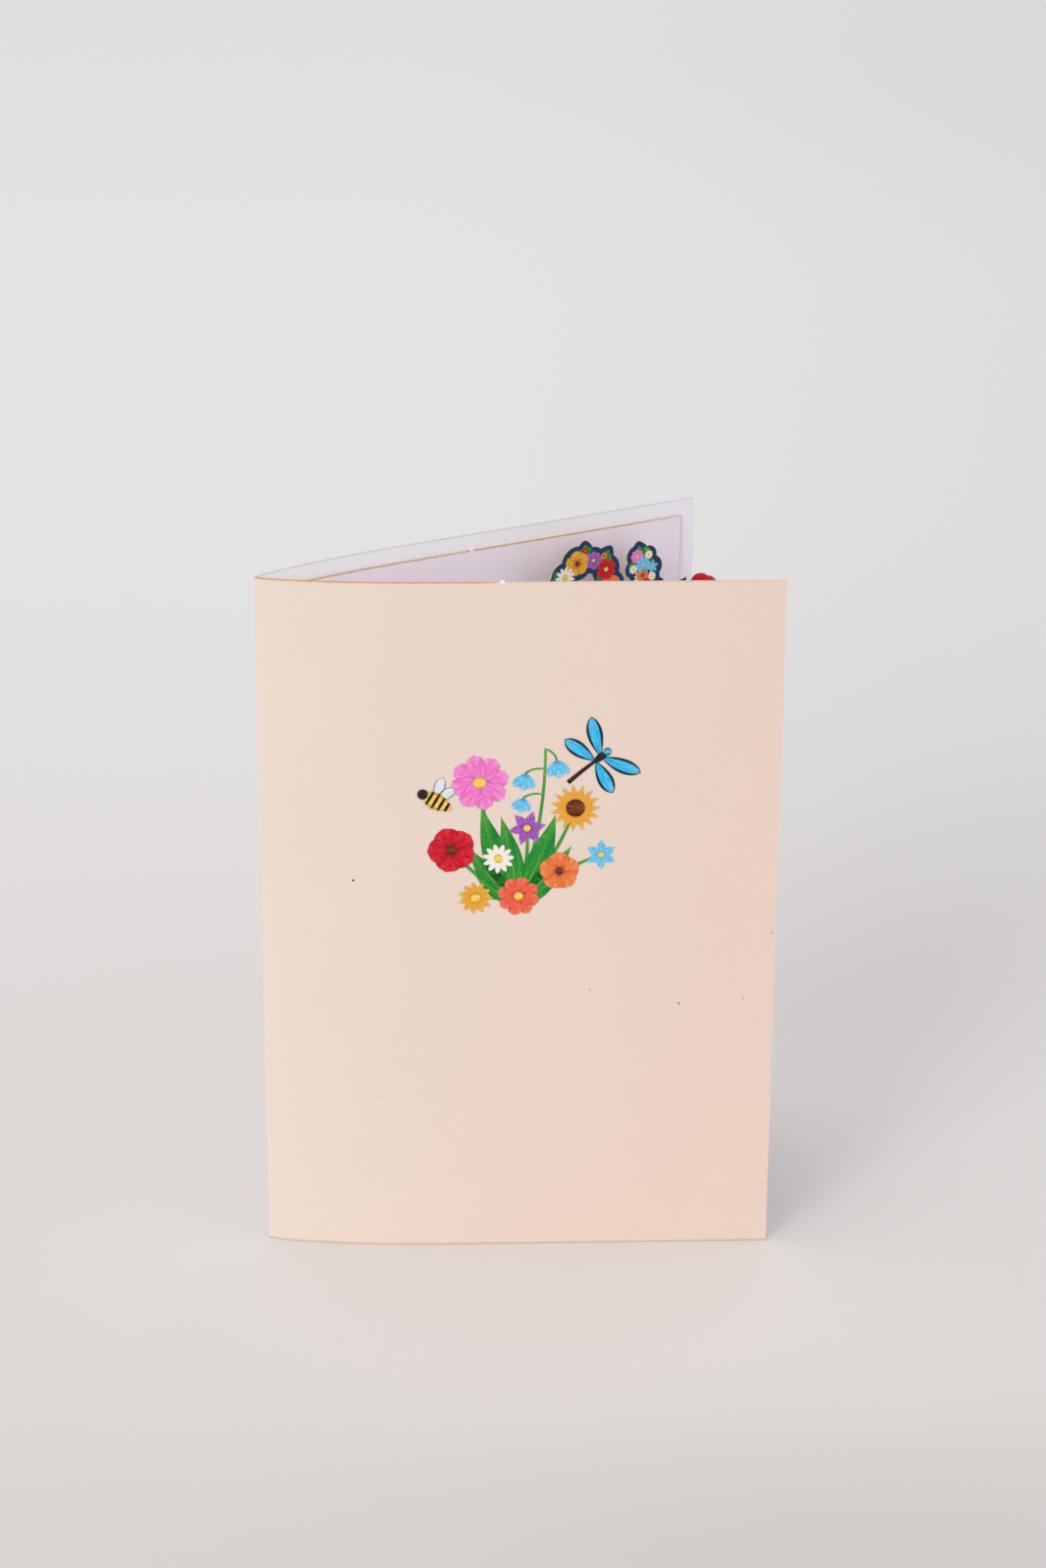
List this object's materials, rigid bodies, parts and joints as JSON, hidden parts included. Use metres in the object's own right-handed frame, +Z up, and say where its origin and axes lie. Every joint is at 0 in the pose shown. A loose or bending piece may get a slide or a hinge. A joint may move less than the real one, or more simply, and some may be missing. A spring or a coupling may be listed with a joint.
{
  "type": "pop-up greeting card",
  "caption": "Folded card standing ajar on its lower edges, with a glued-in folded liner and a paper pop-up of floral layers carried on folded struts.",
  "frame": {"origin": "bottom of the crease, in the middle of the cover's thickness", "axes": "+X in the plane midway between the panels, from the crease to the open side; +Z up along the crease; the front panel is on the -Y side"},
  "size_m": [0.1223, 0.0708, 0.1781],
  "materials": {
    "cover_card": "matte beige print outside, white inside",
    "liner_card": "matte",
    "printed_paper": "matte print",
    "plain_paper": "matte"
  },
  "bodies": {
    "root": {"cover": "cover_card", "liner": "liner_card", "first_layer": "printed_paper", "second_layer": "printed_paper", "front_spine_strut": "plain_paper", "back_spine_strut": "plain_paper", "front_spine_riser": "plain_paper", "back_spine_riser": "plain_paper", "front_lower_strut": "plain_paper", "front_upper_strut": "plain_paper", "back_lower_strut": "plain_paper", "back_upper_strut": "plain_paper", "front_lower_riser": "plain_paper", "front_upper_riser": "plain_paper", "back_lower_riser": "plain_paper", "back_upper_riser": "plain_paper"}
  },
  "joints": []
}
